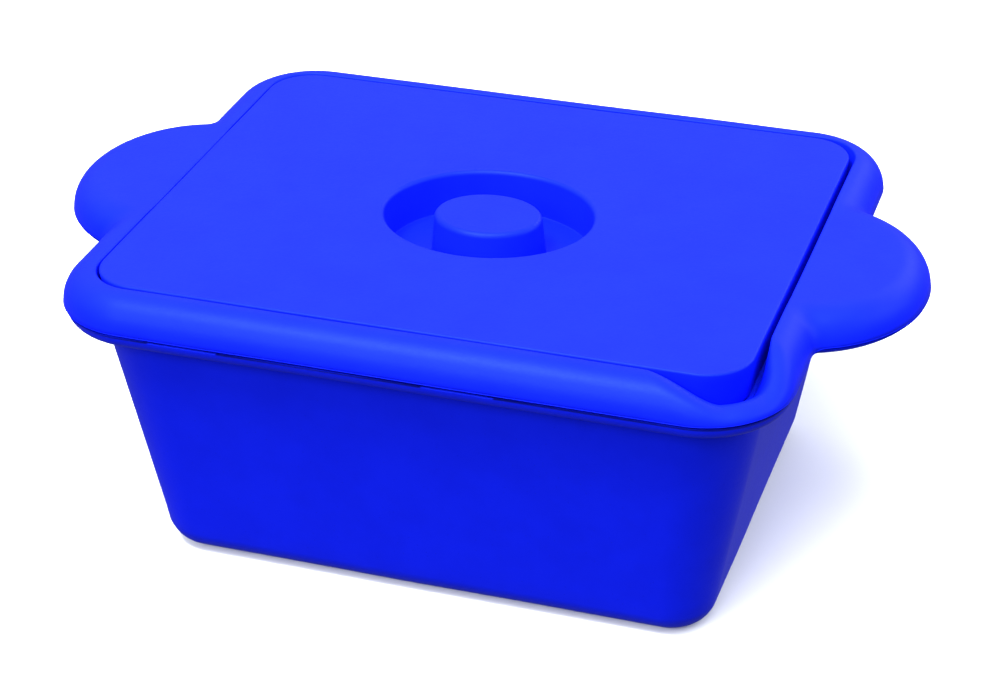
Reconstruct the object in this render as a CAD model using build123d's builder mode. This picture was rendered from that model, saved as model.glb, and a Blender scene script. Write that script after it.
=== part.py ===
from build123d import *
import os

# Rectangular moulded foam ice pan with a lift-off plug lid.
# Origin on the table under the middle of the pan; +X along the lugs, +Z up.

os.makedirs("parts", exist_ok=True)

# ---------------- pan: outside ----------------
PAN_HEIGHT = 134.5          # table to the top of the rim
RIM_LENGTH = 300.5          # widest line of the rim, along X
RIM_WIDTH = 245.4           # widest line of the rim, along Y
RIM_CORNER = 36.0
RIM_DEPTH = 20.5            # height of the thick rolled rim
RIM_SHOULDER = 13.3         # round over the top of the rim
RIM_TURN_UNDER = 7.0        # round under the rim
WALL_INSET = 12.0           # rim overhang beyond the top of the wall
WALL_CORNER = 33.8          # corner radius of the wall just under the rim
FOOT_LENGTH = 235.4
FOOT_WIDTH = 180.3
FOOT_CORNER = 17.3
FOOT_EDGE = 12.5            # round between wall and base

# ---------------- pan: lugs ----------------
LUG_CENTRE = 134.3          # from the middle of the pan to the lug's ellipse centre
LUG_REACH = 51.0            # half axis along X
LUG_SPREAD = 55.4           # half axis along Y
LUG_DROP = 0.4              # lug top below the rim top
LUG_DEPTH = 16.6
LUG_SHOULDER = 12.8
LUG_TURN_UNDER = 3.0

# ---------------- pan: inside ----------------
SEAT_DEPTH = 17.7           # rim top down to the ledge the lid rests on
RECESS_GAP = 1.0            # clearance round the lid at the rim top
SEAT_GAP = 0.6              # clearance round the lid at the ledge
CAVITY_LENGTH = 252.0       # ice space, at the ledge
CAVITY_WIDTH = 196.0
CAVITY_CORNER = 20.0
FLOOR_THICKNESS = 14.0
FLOOR_LENGTH = 216.0        # ice space, at the floor
FLOOR_WIDTH = 161.0
FLOOR_CORNER = 14.0
FLOOR_EDGE = 9.0

# ---------------- pan: pouring corner ----------------
SPOUT_DROP = 8.0            # how far the rim dips at the corner
SPOUT_RADIUS = 37.0         # radius of the dip across the corner
SPOUT_LENGTH = 56.0

# ---------------- lid ----------------
LID_LENGTH = 270.0
LID_WIDTH = 213.6
LID_CORNER = 18.5
LID_TAPER = 1.6             # each side leans in by this much down to the ledge
LID_FLANGE = 17.4           # thickness outside the plug
LID_EDGE = 1.5
PLUG_DEPTH = 12.0
PLUG_LENGTH = 244.0
PLUG_WIDTH = 188.0
PLUG_CORNER = 16.0
PLUG_TAPER = 2.0
PLUG_EDGE = 4.0
WELL_HALF_LENGTH = 44.6
WELL_HALF_WIDTH = 38.5
WELL_DEPTH = 18.0
WELL_LIP = 3.0
WELL_DRAFT = 1.5
WELL_MIDDLE = (1.0, -4.6)   # the well and knob sit a little toward the front
KNOB_HALF_LENGTH = 22.9
KNOB_HALF_WIDTH = 18.9
KNOB_DRAFT = 1.4
KNOB_EDGE = 2.4

WALL_TOP = PAN_HEIGHT - RIM_DEPTH
WALL_LENGTH = RIM_LENGTH - 2 * WALL_INSET
WALL_WIDTH = RIM_WIDTH - 2 * WALL_INSET
SEAT = PAN_HEIGHT - SEAT_DEPTH
LID_SEAT = PAN_HEIGHT - LID_FLANGE
LID_UNDERSIDE = LID_SEAT - PLUG_DEPTH
SPOUT_PLANE = Plane(
    origin=(
        RIM_LENGTH / 2 - 14.0,
        -RIM_WIDTH / 2 + 14.0,
        PAN_HEIGHT - SPOUT_DROP + SPOUT_RADIUS,
    ),
    z_dir=(1, -1, 0),
)


def edges_at(solid, height):
    """Edges of a solid that lie wholly at one height."""
    return solid.edges().filter_by(
        lambda e: abs(e.bounding_box().min.Z - height) < 0.01
        and abs(e.bounding_box().max.Z - height) < 0.01
    )


# Rolled rim: a thick slab rounded over the top and turned under.
with BuildPart() as rim:
    with BuildSketch(Plane.XY.offset(WALL_TOP)):
        RectangleRounded(RIM_LENGTH, RIM_WIDTH, RIM_CORNER)
    extrude(amount=RIM_DEPTH)
    fillet(edges_at(rim, PAN_HEIGHT), radius=RIM_SHOULDER)
    fillet(edges_at(rim, WALL_TOP), radius=RIM_TURN_UNDER)

# One half-moon lug; the inner half of the ellipse disappears in the rim.
with BuildPart() as lug:
    with BuildSketch(Plane.XY.offset(PAN_HEIGHT - LUG_DROP - LUG_DEPTH)):
        Ellipse(LUG_REACH, LUG_SPREAD)
    extrude(amount=LUG_DEPTH)
    fillet(edges_at(lug, PAN_HEIGHT - LUG_DROP), radius=LUG_SHOULDER)
    fillet(edges_at(lug, PAN_HEIGHT - LUG_DROP - LUG_DEPTH), radius=LUG_TURN_UNDER)

# Ice space, tapering down to a floor with rounded edges.
with BuildPart() as ice_space:
    with BuildSketch(Plane.XY.offset(FLOOR_THICKNESS)):
        RectangleRounded(FLOOR_LENGTH, FLOOR_WIDTH, FLOOR_CORNER)
    with BuildSketch(Plane.XY.offset(SEAT + 0.5)):
        RectangleRounded(CAVITY_LENGTH, CAVITY_WIDTH, CAVITY_CORNER)
    loft()
    fillet(edges_at(ice_space, FLOOR_THICKNESS), radius=FLOOR_EDGE)

# The whole pan is one foam moulding.
with BuildPart() as pan:
    with BuildSketch(Plane.XY):
        RectangleRounded(FOOT_LENGTH, FOOT_WIDTH, FOOT_CORNER)
    with BuildSketch(Plane.XY.offset(WALL_TOP)):
        RectangleRounded(WALL_LENGTH, WALL_WIDTH, WALL_CORNER)
    loft()
    fillet(edges_at(pan, 0.0), radius=FOOT_EDGE)
    add(rim.part)
    with Locations((LUG_CENTRE, 0, 0), (-LUG_CENTRE, 0, 0)):
        add(lug.part)
    # recess that takes the lid, down to the ledge
    with BuildSketch(Plane.XY.offset(SEAT)):
        RectangleRounded(
            LID_LENGTH - 2 * LID_TAPER + 2 * SEAT_GAP,
            LID_WIDTH - 2 * LID_TAPER + 2 * SEAT_GAP,
            LID_CORNER,
        )
    with BuildSketch(Plane.XY.offset(PAN_HEIGHT)):
        RectangleRounded(
            LID_LENGTH + 2 * RECESS_GAP,
            LID_WIDTH + 2 * RECESS_GAP,
            LID_CORNER + RECESS_GAP,
        )
    loft(mode=Mode.SUBTRACT)
    add(ice_space.part, mode=Mode.SUBTRACT)
    # pouring corner: a shallow trough through the rim, across the corner
    with BuildSketch(SPOUT_PLANE):
        Circle(SPOUT_RADIUS)
    extrude(amount=SPOUT_LENGTH / 2, both=True, mode=Mode.SUBTRACT)
pan.part.label = "pan"
export_step(pan.part, "parts/pan.step")

# Plug lid: flat top with a finger well and a centre knob.
with BuildPart() as lid:
    with BuildSketch(Plane.XY.offset(LID_SEAT)):
        RectangleRounded(
            LID_LENGTH - 2 * LID_TAPER,
            LID_WIDTH - 2 * LID_TAPER,
            LID_CORNER - LID_TAPER,
        )
    with BuildSketch(Plane.XY.offset(PAN_HEIGHT)):
        RectangleRounded(LID_LENGTH, LID_WIDTH, LID_CORNER)
    loft()
    fillet(edges_at(lid, PAN_HEIGHT), radius=LID_EDGE)
    with BuildSketch(Plane.XY.offset(LID_UNDERSIDE)):
        RectangleRounded(
            PLUG_LENGTH - 2 * PLUG_TAPER,
            PLUG_WIDTH - 2 * PLUG_TAPER,
            PLUG_CORNER,
        )
    with BuildSketch(Plane.XY.offset(LID_SEAT)):
        RectangleRounded(PLUG_LENGTH, PLUG_WIDTH, PLUG_CORNER + PLUG_TAPER)
    loft()
    fillet(edges_at(lid, LID_UNDERSIDE), radius=PLUG_EDGE)
    # finger well
    with BuildSketch(Plane.XY.offset(PAN_HEIGHT - WELL_DEPTH)):
        with Locations(WELL_MIDDLE):
            Ellipse(WELL_HALF_LENGTH - WELL_DRAFT, WELL_HALF_WIDTH - WELL_DRAFT)
    with BuildSketch(Plane.XY.offset(PAN_HEIGHT)):
        with Locations(WELL_MIDDLE):
            Ellipse(WELL_HALF_LENGTH, WELL_HALF_WIDTH)
    loft(mode=Mode.SUBTRACT)
    well_lip = edges_at(lid, PAN_HEIGHT).sort_by(SortBy.DISTANCE)[0]
    fillet(well_lip, radius=WELL_LIP)
    # centre knob, its top flush with the lid
    with BuildSketch(Plane.XY.offset(PAN_HEIGHT - WELL_DEPTH)):
        with Locations(WELL_MIDDLE):
            Ellipse(KNOB_HALF_LENGTH + KNOB_DRAFT, KNOB_HALF_WIDTH + KNOB_DRAFT)
    with BuildSketch(Plane.XY.offset(PAN_HEIGHT)):
        with Locations(WELL_MIDDLE):
            Ellipse(KNOB_HALF_LENGTH, KNOB_HALF_WIDTH)
    loft()
    knob_top = (
        edges_at(lid, PAN_HEIGHT)
        .filter_by(lambda e: e.bounding_box().size.X < 2.2 * KNOB_HALF_LENGTH)
    )
    fillet(knob_top, radius=KNOB_EDGE)
lid.part.label = "lid"
export_step(lid.part, "parts/lid.step")
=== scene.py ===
import math

import bpy
import numpy as np
from mathutils import Matrix, Vector, noise


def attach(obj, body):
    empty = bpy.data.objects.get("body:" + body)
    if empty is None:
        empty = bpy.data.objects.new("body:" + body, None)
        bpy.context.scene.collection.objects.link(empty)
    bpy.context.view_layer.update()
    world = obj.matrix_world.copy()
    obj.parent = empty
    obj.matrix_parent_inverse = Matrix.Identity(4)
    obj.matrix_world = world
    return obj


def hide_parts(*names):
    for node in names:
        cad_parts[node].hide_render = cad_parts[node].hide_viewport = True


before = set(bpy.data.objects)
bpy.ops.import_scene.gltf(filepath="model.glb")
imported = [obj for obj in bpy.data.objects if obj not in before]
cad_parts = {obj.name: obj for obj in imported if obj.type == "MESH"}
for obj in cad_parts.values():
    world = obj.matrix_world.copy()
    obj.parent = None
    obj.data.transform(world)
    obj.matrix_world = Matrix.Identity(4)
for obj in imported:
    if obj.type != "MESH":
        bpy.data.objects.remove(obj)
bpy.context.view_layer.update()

# ------------------------------------------------------------------ pan
# The pan is one piece of closed-cell EVA foam, expanded in a two-part mould.
# A tapered tub carries a thick rolled rim, a half-moon lug on each short side
# and one low corner to pour melt water from. Nothing is fixed to it.
MM = 0.001

RIM_TOP = 134.5
RIM_HALF = (149.95, 122.4)
RIM_CORNER = 36.0
PARTING = 121.1             # height of the mould's parting line, the rim's widest
RIM_ROUND = 13.3            # how far the round over the rim reaches inward
ROLL_DEPTH = 7.3            # rim below the parting line
ROLL_ROUND = 5.0
MOULD_STEP = 0.7            # the lower mould half is this much smaller all round
NIP_DEPTH = 2.6             # sharp nip under the parting line, where the halves met
NIP_HEIGHT = 1.5
WALL_TOP = 114.0
WALL_HALF = (138.2, 110.7)
WALL_CORNER = 33.8
WALL_COVE = 1.6             # hollow round where the wall meets the rim
FOOT_HALF = (117.7, 90.15)
FOOT_CORNER = 17.3
FOOT_ROUND = 12.5

LUG_CENTRE = 134.3
LUG_AXES = (50.75, 55.1)
LUG_DROP = 0.4
LUG_DEPTH_BELOW = 3.6       # lug below the parting line
LUG_ROUND_BELOW = 3.2
LUG_BLEND = 5.5             # softness of the crease where lug and rim meet

SEAT = 116.8                # ledge the lid rests on
RECESS_HALF_TOP = (135.5, 108.2)
RECESS_HALF_SEAT = (134.0, 105.8)
RECESS_SHIFT = 0.9          # the recess sits this far toward +X of the lid
RECESS_CORNER = 19.4
RECESS_ROUND = 0.9
CAVITY_HALF = (126.0, 98.0)
CAVITY_CORNER = 20.0
FLOOR = 14.0
FLOOR_HALF = (108.0, 80.5)
FLOOR_CORNER = 14.0
FLOOR_ROUND = 9.0

POUR_DROP = 7.8             # how far the rim dips at the pouring corner
POUR_SPREAD = 27.3          # half width of the dip, across the corner
POUR_RAMP = 19.0            # length of the slope at each end of the dip
POUR_CENTRE = 19.3          # (x + y) / sqrt(2) of the dip's middle
POUR_ROUND = 4.6            # rounding of the inner edge inside the dip
POUR_WIDEN = 2.8            # how far the recess opens outward inside the dip

LUG_STEPS, SIDE_STEPS, LONG_STEPS, CORNER_STEPS = 84, 22, 110, 34


def corner_fraction(steps):
    """Even fractions from 0 up to, but not including, 1."""
    return np.arange(steps) / steps


def side_fractions(steps, inner=None, inner_steps=0):
    """Fractions from -1 up to 1 along a side, closer together in its middle part."""
    if inner is None:
        return -1 + 2 * corner_fraction(steps)
    return np.concatenate([
        -1 + (1 - inner) * corner_fraction(steps),
        -inner + 2 * inner * corner_fraction(inner_steps),
        inner + (1 - inner) * corner_fraction(steps),
    ])


def rounded_ring(half, corner, short, long, arc):
    """Points round a rounded rectangle, anticlockwise from the low end of the +X side."""
    hx, hy = half
    sx, sy = hx - corner, hy - corner
    turn = corner_fraction(arc) * math.pi / 2
    parts = []
    for quarter in range(4):
        c, s = round(math.cos(quarter * math.pi / 2)), round(math.sin(quarter * math.pi / 2))
        if quarter % 2 == 0:
            reach, run, end = hx, short * sy, (sx, sy)
        else:
            reach, run, end = hy, long * sx, (sy, sx)
        side = np.stack([np.full(len(run), reach), run], 1)
        bend = np.stack([end[0] + corner * np.cos(turn), end[1] + corner * np.sin(turn)], 1)
        local = np.concatenate([side, bend])
        parts.append(np.stack([
            c * local[:, 0] - s * local[:, 1],
            s * local[:, 0] + c * local[:, 1],
        ], 1))
    return np.concatenate(parts)


def inside_rounded(p, half, corner):
    """How far points lie inside a rounded rectangle; negative outside."""
    q = np.abs(p) - (np.array(half) - corner)
    return corner - np.hypot(*np.maximum(q, 0).T) - np.minimum(q.max(1), 0)


def inside_lugs(p):
    """How far points lie inside the nearer lug's ellipse; negative outside."""
    ex = (np.abs(p[:, 0]) - LUG_CENTRE) / LUG_AXES[0]
    ey = p[:, 1] / LUG_AXES[1]
    k = np.hypot(ex, ey) + 1e-9
    return (1 - k) * k / (np.hypot(ex / LUG_AXES[0], ey / LUG_AXES[1]) + 1e-9)


def smooth_max(a, b, soft):
    h = np.clip(1 - np.abs(a - b) / soft, 0, 1)
    return np.maximum(a, b) + h * h * soft / 4


def smooth_step(t):
    t = np.clip(t, 0, 1)
    return t * t * (3 - 2 * t)


def inside_outline(p):
    """How far points lie inside the rim and lugs taken together."""
    return smooth_max(inside_rounded(p, RIM_HALF, RIM_CORNER), inside_lugs(p), LUG_BLEND)


def lug_share(p):
    """0 on the rim, 1 on a lug."""
    lead = inside_lugs(p) - inside_rounded(p, RIM_HALF, RIM_CORNER)
    return smooth_step(lead / 12 + 0.5)


def pour_share(p):
    """0 away from the pouring corner, 1 in the middle of its dip."""
    across = np.abs((p[:, 0] + p[:, 1]) / math.sqrt(2) - POUR_CENTRE)
    out = (p[:, 0] - p[:, 1]) / math.sqrt(2)
    t = np.clip((POUR_SPREAD - across) / POUR_RAMP, 0, 1)
    return (0.35 * t + 0.65 * smooth_step(t)) * (out > 100)


def round_over(d, radius):
    """Height share of a quarter round at distance d in from its edge."""
    t = np.clip((radius - d) / radius, 0, 1)
    return np.sqrt(1 - t * t)


def rim_top_height(p, from_recess, inner_round):
    """Height of the rim, lugs and pouring dip, with the inner edge rounded."""
    crest = RIM_TOP - LUG_DROP * lug_share(p) - POUR_DROP * pour_share(p)
    z = PARTING + (crest - PARTING) * round_over(inside_outline(p), RIM_ROUND)
    return z - inner_round * (1 - round_over(from_recess, inner_round))


def rim_under_height(p, wall_half, wall_corner):
    """Height of the underside of the rim and lugs, coved into the wall."""
    rim = PARTING - ROLL_DEPTH * round_over(inside_rounded(p, RIM_HALF, RIM_CORNER), ROLL_ROUND)
    lug = PARTING - LUG_DEPTH_BELOW * round_over(inside_lugs(p), LUG_ROUND_BELOW)
    both = -smooth_max(-rim, -lug, 2.5)
    edge = PARTING - ROLL_DEPTH * round_over(inside_outline(p), ROLL_ROUND)
    z = np.maximum(both, edge)
    away = -inside_rounded(p, wall_half, wall_corner)
    return z - WALL_COVE * (1 - round_over(away, WALL_COVE))


def outline_crossing(start, target):
    """Where the path from start through target leaves the outline."""
    low = np.zeros(len(start))
    high = np.full(len(start), 1.6)
    for _ in range(40):
        mid = (low + high) / 2
        inside = inside_outline(start + (target - start) * mid[:, None]) > 0
        low = np.where(inside, mid, low)
        high = np.where(inside, high, mid)
    return start + (target - start) * low[:, None]


def ring3(p, z):
    return np.column_stack([p, np.broadcast_to(z, len(p))])


def skin(name, rings):
    """A closed mesh through equal rings, first and last ring filled, in metres."""
    count = len(rings[0])
    points = np.concatenate(rings) * MM
    here = np.arange(count)
    step = np.roll(here, -1)
    faces = []
    for k in range(len(rings) - 1):
        a, b = k * count, (k + 1) * count
        faces += np.stack([a + here, a + step, b + step, b + here], 1).tolist()
    faces.append(here[::-1].tolist())
    faces.append((here + (len(rings) - 1) * count).tolist())
    mesh = bpy.data.meshes.new(name)
    mesh.from_pydata(points.tolist(), [], faces)
    mesh.update()
    mesh.shade_smooth()
    thing = bpy.data.objects.new(name, mesh)
    bpy.context.scene.collection.objects.link(thing)
    return thing


def swell(thing, amount, size, seed):
    """Lets the skin rise and sink slowly, as cooling foam does; flat faces keep their level."""
    mesh = thing.data
    low, high = min(v.co.z for v in mesh.vertices), max(v.co.z for v in mesh.vertices)
    shift = Vector((seed, 2 * seed, 3 * seed))
    normals = [v.normal.copy() for v in mesh.vertices]
    for v, n in zip(mesh.vertices, normals):
        v.co += n * amount * noise.noise(v.co / size + shift)
        v.co.z = min(max(v.co.z, low), high)
    mesh.update()


# the lug meets the rim's outer edge this far from the middle of the side
lug_meet = LUG_AXES[1] * math.sqrt(1 - ((RIM_HALF[0] - LUG_CENTRE) / LUG_AXES[0]) ** 2)
lug_turn = math.acos((RIM_HALF[0] - LUG_CENTRE) / LUG_AXES[0])
lug_fraction = lug_meet / (RIM_HALF[1] - RIM_CORNER)
SHORT = side_fractions(SIDE_STEPS, lug_fraction, LUG_STEPS)
LONG = side_fractions(LONG_STEPS)


def pan_ring(half, corner):
    return rounded_ring(half, corner, SHORT, LONG, CORNER_STEPS)


def between(a, b, t):
    return tuple(p + (q - p) * t for p, q in zip(a, b))


def wall_ring(z, inset=0.0):
    """Ring of the outer wall at height z, or inside its foot line by an inset."""
    t = z / WALL_TOP
    half = between(FOOT_HALF, WALL_HALF, t)
    corner = FOOT_CORNER + (WALL_CORNER - FOOT_CORNER) * t
    half = tuple(h - inset for h in half)
    return pan_ring(half, max(corner - inset, 1.5))


# outline of rim and lugs, found from rays that start at the lid recess
recess_ring = pan_ring(RECESS_HALF_TOP, RECESS_CORNER)
along = np.roll(recess_ring, -1, 0) - np.roll(recess_ring, 1, 0)
outward = np.column_stack([along[:, 1], -along[:, 0]]) / np.hypot(*along.T)[:, None]
recess_ring = recess_ring + outward * (POUR_WIDEN * pour_share(recess_ring))[:, None]
recess_ring[:, 0] += RECESS_SHIFT
target = pan_ring(RIM_HALF, RIM_CORNER)
ring_size = len(target)
for side in (0, ring_size // 2):
    lug = slice(side + SIDE_STEPS, side + SIDE_STEPS + LUG_STEPS + 1)
    angle = np.linspace(-lug_turn, lug_turn, LUG_STEPS + 1)
    sign = 1 if side == 0 else -1
    target[lug, 0] = sign * (LUG_CENTRE + LUG_AXES[0] * np.cos(angle))
    target[lug, 1] = sign * LUG_AXES[1] * np.sin(angle)
outline = outline_crossing(recess_ring, target)

pan_rings = []
# underside of the base, from the middle out
for inset in (86, 78, 68, 57, 46, 36, 27, 19, 14):
    pan_rings.append(ring3(wall_ring(0.0, inset), 0.0))
# round from the base into the leaning wall
lean = (WALL_HALF[0] - FOOT_HALF[0]) / WALL_TOP
lean_angle = math.atan(lean)
foot_centre = lean * FOOT_ROUND - FOOT_ROUND * math.hypot(1, lean)
for angle in np.linspace(-math.pi / 2, -lean_angle, 11):
    w = foot_centre + FOOT_ROUND * math.cos(angle)
    half = tuple(h + w for h in FOOT_HALF)
    z = FOOT_ROUND * (1 + math.sin(angle))
    pan_rings.append(ring3(pan_ring(half, FOOT_CORNER + min(w, 1)), z))
# wall
wall_start = pan_rings[-1][0, 2]
wall_end = PARTING - ROLL_DEPTH - WALL_COVE
for t in np.linspace(0, 1, 17)[1:]:
    z = wall_start + (wall_end - wall_start) * t
    pan_rings.append(ring3(wall_ring(z), z))
# underside of the rim and lugs, from the wall out to the parting line
wall_line = pan_rings[-1][:, :2]
wall_t = wall_end / WALL_TOP
wall_half = between(FOOT_HALF, WALL_HALF, wall_t)
wall_corner = FOOT_CORNER + (WALL_CORNER - FOOT_CORNER) * wall_t
path = outline - wall_line
reach = np.hypot(*path.T)
path /= reach[:, None]
lower_reach = reach - MOULD_STEP
roll_start = lower_reach - ROLL_ROUND
near = np.minimum(roll_start, 15.0)
steps = [near * t for t in (0.04, 0.10, 0.18, 0.28, 0.4, 0.52, 0.64, 0.76, 0.88, 1.0)]
steps += [near + (roll_start - near) * t for t in (0.33, 0.67, 1.0)]
steps += [roll_start + ROLL_ROUND * math.sin(a) for a in np.linspace(0, math.pi / 2, 10)[1:]]
for s in steps[:-1]:
    p = wall_line + path * s[:, None]
    q = wall_line + path * (s + MOULD_STEP * (s / lower_reach))[:, None]
    pan_rings.append(ring3(p, rim_under_height(q, wall_half, wall_corner)))
# the nip under the parting line
nip = ((MOULD_STEP, NIP_HEIGHT), (NIP_DEPTH, 0.7 * NIP_HEIGHT), (NIP_DEPTH, 0.4 * NIP_HEIGHT), (0.4, 0.25))
for depth, drop in nip:
    pan_rings.append(ring3(wall_line + path * (reach - depth)[:, None], PARTING - drop))
# round over the top, from the parting line in to the recess
parting_ring = len(pan_rings)
pan_rings.append(ring3(outline, PARTING))
path = recess_ring - outline
reach = np.hypot(*path.T)
path /= reach[:, None]
inner = RECESS_ROUND + (POUR_ROUND - RECESS_ROUND) * pour_share(recess_ring)
over = np.minimum(RIM_ROUND, reach - inner - 0.3)
steps = [over * (1 - math.cos(a)) for a in np.linspace(0, math.pi / 2, 15)[1:]]
steps += [over + (reach - inner - over) * t for t in (0.08, 0.2, 0.35, 0.5, 0.66, 0.83)]
steps += [reach - inner * (1 - math.sin(a)) for a in np.linspace(0, math.pi / 2, 8)]
for s in steps:
    p = outline + path * s[:, None]
    pan_rings.append(ring3(p, rim_top_height(p, reach - s, inner)))
# recess wall down to the ledge
top_z = pan_rings[-1][:, 2]
seat_ring = pan_ring(RECESS_HALF_SEAT, RECESS_CORNER)
for t in (0.25, 0.5, 0.75, 0.93, 0.975, 1.0):
    p = recess_ring + (seat_ring - recess_ring) * t
    pan_rings.append(ring3(p, top_z + (SEAT + 0.6 - top_z) * min(t / 0.975, 1) - 0.6 * (t == 1.0)))
# ledge, and its rounded edge over the ice space
for inset in (0.6, 3.0, 5.4):
    half = tuple(h - inset for h in RECESS_HALF_SEAT)
    pan_rings.append(ring3(pan_ring(half, RECESS_CORNER), SEAT))
for angle in np.linspace(0, math.pi / 2, 6):
    half = tuple(h + 2.2 * (1 - math.sin(angle)) for h in CAVITY_HALF)
    pan_rings.append(ring3(pan_ring(half, CAVITY_CORNER), SEAT - 2.2 * (1 - math.cos(angle))))
# inside wall, floor round and floor
inside_lean = (CAVITY_HALF[0] - FLOOR_HALF[0]) / (SEAT - FLOOR)
floor_centre = inside_lean * FLOOR_ROUND - FLOOR_ROUND * math.hypot(1, inside_lean)
floor_tangent = FLOOR_ROUND * (1 - math.sin(math.atan(inside_lean)))
for t in np.linspace(0, 1, 15)[1:]:
    z = SEAT - 2.2 + (FLOOR + floor_tangent - SEAT + 2.2) * t
    share = (z - FLOOR) / (SEAT - FLOOR)
    corner = FLOOR_CORNER + (CAVITY_CORNER - FLOOR_CORNER) * share
    pan_rings.append(ring3(pan_ring(between(FLOOR_HALF, CAVITY_HALF, share), corner), z))
for angle in np.linspace(-math.atan(inside_lean), -math.pi / 2, 10)[1:]:
    w = floor_centre + FLOOR_ROUND * math.cos(angle)
    half = tuple(h + w for h in FLOOR_HALF)
    corner = FLOOR_CORNER + min(w, 0.5)
    pan_rings.append(ring3(pan_ring(half, corner), FLOOR + FLOOR_ROUND * (1 + math.sin(angle))))
for inset in (14, 22, 32, 44, 56, 68, 77):
    half = tuple(h - inset for h in FLOOR_HALF)
    pan_rings.append(ring3(pan_ring(half, max(FLOOR_CORNER - inset, 1.5)), FLOOR))

pan_moulding = skin("pan_moulding", pan_rings)
swell(pan_moulding, 0.25 * MM, 55 * MM, 3.7)


def srgb(code):
    """A hex colour as the linear values that shaders take."""
    raw = [int(code[i:i + 2], 16) / 255 for i in (1, 3, 5)]
    return [c / 12.92 if c <= 0.04045 else ((c + 0.055) / 1.055) ** 2.4 for c in raw] + [1.0]


def add_node(tree, kind, links=(), **values):
    """Adds a node; values are its settings or unlinked sockets, links are (socket, from socket)."""
    node = tree.nodes.new(kind)
    for key, value in values.items():
        if hasattr(node, key):
            setattr(node, key, value)
        else:
            node.inputs[key.replace("_", " ")].default_value = value
    for name, source in links:
        tree.links.new(node.inputs[name], source)
    return node


# Self-skinning EVA foam: strongly dyed all through, so the blue is deep and even.
# The mould leaves a dull, faintly pebbled skin with a soft sheen at low angles;
# flow and cooling leave slight clouds in its shade, and tiny pores break it up.
FOAM_BLUE = "#0819D8"
FOAM_BLUE_DENSE = "#0717D2"
PORE_BLUE = "#0311B6"
CLOUD_MM = 22.0
PEBBLE_MM = 1.1
RIPPLE_MM = 7.0
PORE_MM = 3.2


def moulded_foam(name, drift):
    """Blue moulded EVA foam; drift moves its clouds so two mouldings differ."""
    material = bpy.data.materials.new(name)
    material.use_nodes = True
    tree = material.node_tree
    tree.nodes.clear()
    out = add_node(tree, "ShaderNodeOutputMaterial")
    place = add_node(tree, "ShaderNodeTexCoord")
    moved = add_node(tree, "ShaderNodeMapping", [("Vector", place.outputs["Object"])], Location=drift)
    spot = moved.outputs["Vector"]
    clouds = add_node(tree, "ShaderNodeTexNoise", [("Vector", spot)],
                      Scale=1 / (CLOUD_MM * MM), Detail=3.0, Roughness=0.6)
    cloud_share = add_node(tree, "ShaderNodeMapRange", [("Value", clouds.outputs["Fac"])],
                           interpolation_type="SMOOTHSTEP")
    cloud_share.inputs["From Min"].default_value = 0.32
    cloud_share.inputs["From Max"].default_value = 0.72
    tint = add_node(tree, "ShaderNodeMix", [("Factor", cloud_share.outputs["Result"])], data_type="RGBA")
    tint.inputs["A"].default_value = srgb(FOAM_BLUE)
    tint.inputs["B"].default_value = srgb(FOAM_BLUE_DENSE)
    cells = add_node(tree, "ShaderNodeTexVoronoi", [("Vector", spot)],
                     Scale=1 / (PORE_MM * MM), Randomness=1.0)
    pore = add_node(tree, "ShaderNodeMapRange", [("Value", cells.outputs["Distance"])])
    pore.inputs["From Min"].default_value = 0.05
    pore.inputs["From Max"].default_value = 0.11
    pore.inputs["To Min"].default_value = 0.5
    pore.inputs["To Max"].default_value = 0.0
    colour = add_node(tree, "ShaderNodeMix", [("Factor", pore.outputs["Result"])], data_type="RGBA")
    tree.links.new(colour.inputs["A"], tint.outputs["Result"])
    colour.inputs["B"].default_value = srgb(PORE_BLUE)
    pebbles = add_node(tree, "ShaderNodeTexNoise", [("Vector", spot)],
                       Scale=1 / (PEBBLE_MM * MM), Detail=2.0, Roughness=0.55)
    ripples = add_node(tree, "ShaderNodeTexNoise", [("Vector", spot)],
                       Scale=1 / (RIPPLE_MM * MM), Detail=2.0, Roughness=0.5)
    wave = add_node(tree, "ShaderNodeBump", [("Height", ripples.outputs["Fac"])],
                    Strength=0.35, Distance=0.25 * MM)
    grain = add_node(tree, "ShaderNodeBump",
                     [("Height", pebbles.outputs["Fac"]), ("Normal", wave.outputs["Normal"])],
                     Strength=0.45, Distance=0.08 * MM)
    dull = add_node(tree, "ShaderNodeMapRange", [("Value", pebbles.outputs["Fac"])])
    dull.inputs["To Min"].default_value = 0.38
    dull.inputs["To Max"].default_value = 0.50
    surface = add_node(tree, "ShaderNodeBsdfPrincipled",
                       [("Base Color", colour.outputs["Result"]),
                        ("Roughness", dull.outputs["Result"]),
                        ("Normal", grain.outputs["Normal"])],
                       IOR=1.48)
    surface.inputs["Specular IOR Level"].default_value = 0.085
    surface.inputs["Specular Tint"].default_value = (0.42, 0.95, 1.0, 1.0)
    tree.links.new(out.inputs["Surface"], surface.outputs["BSDF"])
    return material


pan_foam = moulded_foam("moulded_eva_foam_pan", (0.0, 0.0, 0.0))
pan_moulding.data.materials.append(pan_foam)
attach(pan_moulding, "pan")
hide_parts("pan")

# ------------------------------------------------------------------ parting line
# Foam squeezed between the two mould halves leaves a thin ragged fin of flash
# all the way round the rim and both lugs. It is the same foam, and it is part
# of the moulding; it was trimmed by hand, so its height wanders.
FIN_RADIUS = 0.12
FIN_WANDER = 0.5            # share by which the radius wanders
FIN_PITCH = 1.4
FIN_RAGGED_MM = 5.0

fin_path = bpy.data.meshes.new("parting_path")
fin_start = parting_ring * ring_size
fin_points = [tuple(v.co) for v in pan_moulding.data.vertices[fin_start:fin_start + ring_size]]
fin_path.from_pydata(fin_points, [(i, (i + 1) % ring_size) for i in range(ring_size)], [])
fin_maker = bpy.data.objects.new("parting_path", fin_path)
bpy.context.scene.collection.objects.link(fin_maker)

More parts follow.
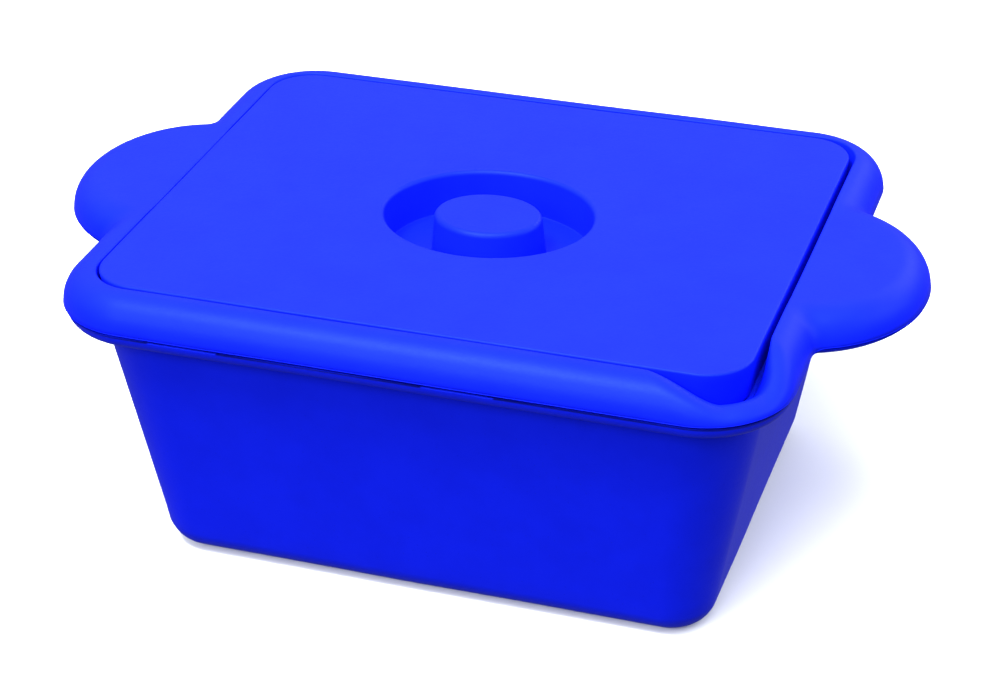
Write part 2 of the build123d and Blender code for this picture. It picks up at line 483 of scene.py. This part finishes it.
fin_tree = bpy.data.node_groups.new("ragged_fin", "GeometryNodeTree")
fin_tree.interface.new_socket("Path", in_out="INPUT", socket_type="NodeSocketGeometry")
fin_inputs = {}
for label, kind, value in (
    ("Fin Radius", "NodeSocketFloat", FIN_RADIUS * MM),
    ("Wander", "NodeSocketFloat", FIN_WANDER),
    ("Pitch", "NodeSocketFloat", FIN_PITCH * MM),
    ("Ragged Scale", "NodeSocketFloat", 1 / (FIN_RAGGED_MM * MM)),
    ("Foam", "NodeSocketMaterial", pan_foam),
):
    socket = fin_tree.interface.new_socket(label, in_out="INPUT", socket_type=kind)
    fin_inputs[socket.identifier] = value
fin_tree.interface.new_socket("Fin", in_out="OUTPUT", socket_type="NodeSocketGeometry")
fin_in = add_node(fin_tree, "NodeGroupInput")
fin_out = add_node(fin_tree, "NodeGroupOutput")
fin_curve = add_node(fin_tree, "GeometryNodeMeshToCurve", [("Mesh", fin_in.outputs["Path"])])
fin_even = add_node(fin_tree, "GeometryNodeResampleCurve",
                    [("Curve", fin_curve.outputs["Curve"]), ("Length", fin_in.outputs["Pitch"])], mode="LENGTH")
fin_where = add_node(fin_tree, "GeometryNodeInputPosition")
fin_noise = add_node(fin_tree, "ShaderNodeTexNoise",
                     [("Vector", fin_where.outputs["Position"]), ("Scale", fin_in.outputs["Ragged Scale"])],
                     Detail=3.0)
fin_low = add_node(fin_tree, "ShaderNodeMath", [(1, fin_in.outputs["Wander"])], operation="SUBTRACT")
fin_low.inputs[0].default_value = 1.0
fin_high = add_node(fin_tree, "ShaderNodeMath", [(1, fin_in.outputs["Wander"])], operation="ADD")
fin_high.inputs[0].default_value = 1.0
fin_scale = add_node(fin_tree, "ShaderNodeMapRange",
                     [("Value", fin_noise.outputs["Fac"]),
                      ("To Min", fin_low.outputs["Value"]),
                      ("To Max", fin_high.outputs["Value"])])
fin_scale.inputs["From Min"].default_value = 0.3
fin_scale.inputs["From Max"].default_value = 0.7
fin_swing = add_node(fin_tree, "GeometryNodeSetCurveRadius",
                     [("Curve", fin_even.outputs["Curve"]), ("Radius", fin_scale.outputs["Result"])])
fin_profile = add_node(fin_tree, "GeometryNodeCurvePrimitiveCircle", Resolution=8)
fin_tree.links.new(fin_profile.inputs["Radius"], fin_in.outputs["Fin Radius"])
fin_mesh = add_node(fin_tree, "GeometryNodeCurveToMesh",
                    [("Curve", fin_swing.outputs["Curve"]), ("Profile Curve", fin_profile.outputs["Curve"])])
fin_real = add_node(fin_tree, "GeometryNodeRealizeInstances", [("Geometry", fin_mesh.outputs["Mesh"])])
fin_foam = add_node(fin_tree, "GeometryNodeSetMaterial",
                    [("Geometry", fin_real.outputs["Geometry"]), ("Material", fin_in.outputs["Foam"])])
fin_tree.links.new(fin_out.inputs["Fin"], fin_foam.outputs["Geometry"])


def grown(maker, tree, inputs, name):
    """Runs a geometry tree on an object once and keeps the result as a plain mesh."""
    modifier = maker.modifiers.new("grow", "NODES")
    modifier.node_group = tree
    for identifier, value in inputs.items():
        modifier[identifier] = value
    held = maker.evaluated_get(bpy.context.evaluated_depsgraph_get())
    mesh = bpy.data.meshes.new_from_object(held)
    maker.modifiers.remove(modifier)
    bpy.data.objects.remove(maker)
    mesh.shade_smooth()
    thing = bpy.data.objects.new(name, mesh)
    bpy.context.scene.collection.objects.link(thing)
    return thing


parting_fin = grown(fin_maker, fin_tree, fin_inputs, "parting_line_fin")
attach(parting_fin, "pan")

# ------------------------------------------------------------------ lid
# The lid is a second foam moulding, dropped loose into the rim's recess. Its flange
# rests on the ledge and its plug hangs into the ice space. Fingers go down into the
# oval well and grip the knob left standing in the middle, level with the lid's face.
LID_TOP = 134.5
LID_HALF = (134.1, 106.8)
LID_CORNER = 19.2
LID_EDGE = 0.9
LID_SEAT = 117.1
LID_LEAN = 1.6
LID_LOW_EDGE = 1.2
PLUG_HALF = (122.0, 94.0)
PLUG_CORNER = 18.0
PLUG_BOTTOM = 105.1
PLUG_LEAN = 2.0
PLUG_EDGE = 4.0
PLUG_COVE = 1.8
WELL_AXES = (45.2, 39.4)
WELL_MIDDLE = (1.5, -4.0)
WELL_FLOOR = 116.5
WELL_LEAN = 1.2
WELL_LIP = 1.9
WELL_COVE = 0.4
KNOB_AXES = (22.9, 18.9)
KNOB_MIDDLE = (1.5, -4.8)
KNOB_LEAN = 1.4
KNOB_EDGE = 2.4
KNOB_COVE = 0.3
LID_SHORT = side_fractions(84)
LID_LONG = side_fractions(108)


def lid_ring(half, corner):
    return rounded_ring(half, corner, LID_SHORT, LID_LONG, 26)


lid_edge_ring = lid_ring(LID_HALF, LID_CORNER)
lid_bearing = np.arctan2(lid_edge_ring[:, 1] / LID_HALF[1], lid_edge_ring[:, 0] / LID_HALF[0])
round_spacing = np.linspace(0, 2 * math.pi, len(lid_bearing), endpoint=False) + lid_bearing[0]
lid_bearing = 0.5 * np.unwrap(lid_bearing) + 0.5 * round_spacing


def oval_ring(axes, grow=0.0, middle=WELL_MIDDLE):
    return np.column_stack([
        (axes[0] + grow) * np.cos(lid_bearing) + middle[0],
        (axes[1] + grow) * np.sin(lid_bearing) + middle[1],
    ])


lid_rings = []
# underside of the plug and its rounded edge
for inset in (90, 82, 70, 57, 44, 31, 19, 10):
    half = tuple(h - PLUG_LEAN - inset for h in PLUG_HALF)
    half = tuple(max(h, 2.0) for h in half)
    corner = max(min(PLUG_CORNER - inset, min(half)), 1.0)
    lid_rings.append(ring3(lid_ring(half, corner), PLUG_BOTTOM))
for angle in np.linspace(0, math.pi / 2, 8):
    inset = PLUG_LEAN + PLUG_EDGE * (1 - math.sin(angle))
    half = tuple(h - inset for h in PLUG_HALF)
    z = PLUG_BOTTOM + PLUG_EDGE * (1 - math.cos(angle))
    lid_rings.append(ring3(lid_ring(half, PLUG_CORNER - inset), z))
# side of the plug, cove and seat of the flange
for z, inset in ((111.5, 0.95), (LID_SEAT - PLUG_COVE, 0.3)):
    half = tuple(h - inset for h in PLUG_HALF)
    lid_rings.append(ring3(lid_ring(half, PLUG_CORNER - inset), z))
for angle in np.linspace(0, math.pi / 2, 6)[1:]:
    grow = PLUG_COVE * (1 - math.cos(angle)) - 0.3
    half = tuple(h + grow for h in PLUG_HALF)
    z = LID_SEAT - PLUG_COVE * (1 - math.sin(angle))
    lid_rings.append(ring3(lid_ring(half, PLUG_CORNER + grow), z))
low_half = tuple(h - LID_LEAN for h in LID_HALF)
for inset in (8.0, 4.5, LID_LOW_EDGE):
    half = tuple(h - inset for h in low_half)
    lid_rings.append(ring3(lid_ring(half, LID_CORNER - 0.5), LID_SEAT))
for angle in np.linspace(0, math.pi / 2, 6)[1:]:
    inset = LID_LOW_EDGE * (1 - math.sin(angle))
    half = tuple(h - inset for h in low_half)
    z = LID_SEAT + LID_LOW_EDGE * (1 - math.cos(angle))
    lid_rings.append(ring3(lid_ring(half, LID_CORNER - 0.5), z))
# side of the flange and the rounded edge of the lid's face
for t in (0.2, 0.4, 0.6, 0.8):
    z = LID_SEAT + LID_LOW_EDGE + (LID_TOP - LID_EDGE - LID_SEAT - LID_LOW_EDGE) * t
    lid_rings.append(ring3(lid_ring(between(low_half, LID_HALF, t), LID_CORNER - 0.5 + 0.5 * t), z))
for angle in np.linspace(0, math.pi / 2, 8):
    inset = LID_EDGE * (1 - math.cos(angle))
    half = tuple(h - inset for h in LID_HALF)
    z = LID_TOP - LID_EDGE * (1 - math.sin(angle))
    lid_rings.append(ring3(lid_ring(half, LID_CORNER - inset), z))
# flat face, from the edge in to the lip of the well
face_edge = lid_rings[-1][:, :2]
lip = oval_ring(WELL_AXES, WELL_LIP * 0.4)
for t in (0.03, 0.09, 0.17, 0.26, 0.35, 0.44, 0.53, 0.62, 0.7, 0.78, 0.85, 0.91, 0.96, 1.0):
    lid_rings.append(ring3(face_edge + (lip - face_edge) * t, LID_TOP))
# lip, wall and floor of the well
for angle in np.linspace(0, math.pi / 2, 9)[1:]:
    grow = WELL_LIP * (0.4 - math.sin(angle))
    lid_rings.append(ring3(oval_ring(WELL_AXES, grow), LID_TOP - WELL_LIP * (1 - math.cos(angle))))
wall_grow = WELL_LIP * -0.6
for t in (0.25, 0.5, 0.75, 1.0):
    z = LID_TOP - WELL_LIP + (WELL_FLOOR + WELL_COVE - LID_TOP + WELL_LIP) * t
    lid_rings.append(ring3(oval_ring(WELL_AXES, wall_grow - WELL_LEAN * 0.5 * t), z))
for angle in np.linspace(0, math.pi / 2, 7)[1:]:
    grow = wall_grow - WELL_LEAN * 0.5 - WELL_COVE * (1 - math.cos(angle))
    lid_rings.append(ring3(oval_ring(WELL_AXES, grow), WELL_FLOOR + WELL_COVE * (1 - math.sin(angle))))
well_edge = lid_rings[-1][:, :2]
knob_foot = oval_ring(KNOB_AXES, KNOB_LEAN + KNOB_COVE, KNOB_MIDDLE)
for t in (0.2, 0.4, 0.6, 0.8, 1.0):
    lid_rings.append(ring3(well_edge + (knob_foot - well_edge) * t, WELL_FLOOR))
# knob, from its foot up and over to the middle of its face
for angle in np.linspace(0, math.pi / 2, 5)[1:]:
    grow = KNOB_LEAN + KNOB_COVE * (1 - math.sin(angle))
    lid_rings.append(ring3(oval_ring(KNOB_AXES, grow, KNOB_MIDDLE), WELL_FLOOR + KNOB_COVE * (1 - math.cos(angle))))
for t in (0.2, 0.4, 0.6, 0.8, 1.0):
    z = WELL_FLOOR + KNOB_COVE + (LID_TOP - KNOB_EDGE - WELL_FLOOR - KNOB_COVE) * t
    lid_rings.append(ring3(oval_ring(KNOB_AXES, KNOB_LEAN * (1 - t), KNOB_MIDDLE), z))
for angle in np.linspace(0, math.pi / 2, 9)[1:]:
    grow = -KNOB_EDGE * (1 - math.cos(angle))
    lid_rings.append(ring3(oval_ring(KNOB_AXES, grow, KNOB_MIDDLE), LID_TOP - KNOB_EDGE * (1 - math.sin(angle))))
for shrink in (6, 10, 14, 16.5):
    lid_rings.append(ring3(oval_ring(KNOB_AXES, -shrink, KNOB_MIDDLE), LID_TOP))

lid_moulding = skin("lid_moulding", lid_rings)
swell(lid_moulding, 0.18 * MM, 60 * MM, 8.3)
lid_foam = moulded_foam("moulded_eva_foam_lid", (0.31, 0.12, 0.05))
lid_moulding.data.materials.append(lid_foam)
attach(lid_moulding, "lid")
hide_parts("lid")

# ------------------------------------------------------------------ studio
# White paper under a wide softbox and a small bright key, both above the front.
# Weaker boxes fill the front, side and back; the white room is brighter overhead.
# The paper throws no light back up, so the hollow under the rim stays dark.
FLOOR_HALF_SIDE = 6.0
floor_mesh = bpy.data.meshes.new("studio_floor")
floor_mesh.from_pydata(
    [(sx * FLOOR_HALF_SIDE, sy * FLOOR_HALF_SIDE, -0.0002) for sx, sy in ((-1, -1), (1, -1), (1, 1), (-1, 1))],
    [], [(0, 1, 2, 3)])
studio_floor = bpy.data.objects.new("studio_floor", floor_mesh)
bpy.context.scene.collection.objects.link(studio_floor)
paper = bpy.data.materials.new("white_sweep_paper")
paper.use_nodes = True
paper_surface = paper.node_tree.nodes["Principled BSDF"]
paper_surface.inputs["Base Color"].default_value = srgb("#E6E8EB")
paper_surface.inputs["Roughness"].default_value = 0.9
paper_surface.inputs["Specular IOR Level"].default_value = 0.1
floor_mesh.materials.append(paper)
studio_floor.visible_glossy = False
studio_floor.visible_diffuse = False

world = bpy.data.worlds.new("white_room")
bpy.context.scene.world = world
world.use_nodes = True
room = world.node_tree.nodes["Background"]
room.inputs["Color"].default_value = srgb("#F4F8FF")
room_way = add_node(world.node_tree, "ShaderNodeTexCoord")
room_height = add_node(world.node_tree, "ShaderNodeSeparateXYZ", [("Vector", room_way.outputs["Generated"])])
room_light = add_node(world.node_tree, "ShaderNodeMapRange", [("Value", room_height.outputs["Z"])],
                      interpolation_type="SMOOTHSTEP")
room_light.inputs["To Min"].default_value = 0.3
room_light.inputs["To Max"].default_value = 1.9
world.node_tree.links.new(room.inputs["Strength"], room_light.outputs["Result"])


def softbox(name, at, toward, width, depth, watts, tint="#FFFFFF"):
    """A rectangular area light at a point in metres, facing another."""
    lamp = bpy.data.lights.new(name, "AREA")
    lamp.shape = "RECTANGLE"
    lamp.size, lamp.size_y, lamp.energy = width, depth, watts
    lamp.color = srgb(tint)[:3]
    holder = bpy.data.objects.new(name, lamp)
    bpy.context.scene.collection.objects.link(holder)
    holder.matrix_world = (
        Matrix.Translation(Vector(at))
        @ (Vector(toward) - Vector(at)).to_track_quat("-Z", "Y").to_matrix().to_4x4()
    )


softbox("overhead_softbox", (-0.05, -0.60, 1.90), (0, 0, 0.1), 1.5, 1.1, 52)
softbox("key_softbox", (-0.50, -0.68, 1.90), (0, 0, 0.1), 0.5, 0.4, 36)
softbox("side_softbox", (1.7, 0.4, 1.1), (0, 0, 0.1), 1.2, 0.9, 12)
softbox("rear_softbox", (1.0, 1.8, 1.3), (0, 0, 0.1), 1.4, 0.9, 12)
softbox("front_softbox", (-0.5, -1.95, 1.4), (0, 0, 0.08), 1.6, 0.9, 42)

# ------------------------------------------------------------------ camera
# A long lens looks down on the pan from the front, a little toward the pouring corner.
CAMERA_AT = (0.30493, -0.90497, 0.61787)
CAMERA_AZIMUTH = math.radians(18.368)
CAMERA_ELEVATION = math.radians(29.715)
CAMERA_ROLL = math.radians(-0.654)
CAMERA_LENS = 92.47

back = Vector((
    math.sin(CAMERA_AZIMUTH) * math.cos(CAMERA_ELEVATION),
    -math.cos(CAMERA_AZIMUTH) * math.cos(CAMERA_ELEVATION),
    math.sin(CAMERA_ELEVATION),
))
right = Vector((0, 0, 1)).cross(back).normalized()
up = back.cross(right)
right_rolled = right * math.cos(CAMERA_ROLL) + up * math.sin(CAMERA_ROLL)
up_rolled = up * math.cos(CAMERA_ROLL) - right * math.sin(CAMERA_ROLL)
camera = bpy.data.objects.new("camera", bpy.data.cameras.new("camera"))
bpy.context.scene.collection.objects.link(camera)
camera.data.lens = CAMERA_LENS
camera.data.sensor_width = 36.0
camera.data.clip_end = 50.0
camera.matrix_world = (
    Matrix.Translation(Vector(CAMERA_AT))
    @ Matrix((right_rolled, up_rolled, back)).transposed().to_4x4()
)
bpy.context.scene.camera = camera
bpy.context.scene.view_settings.view_transform = "Standard"
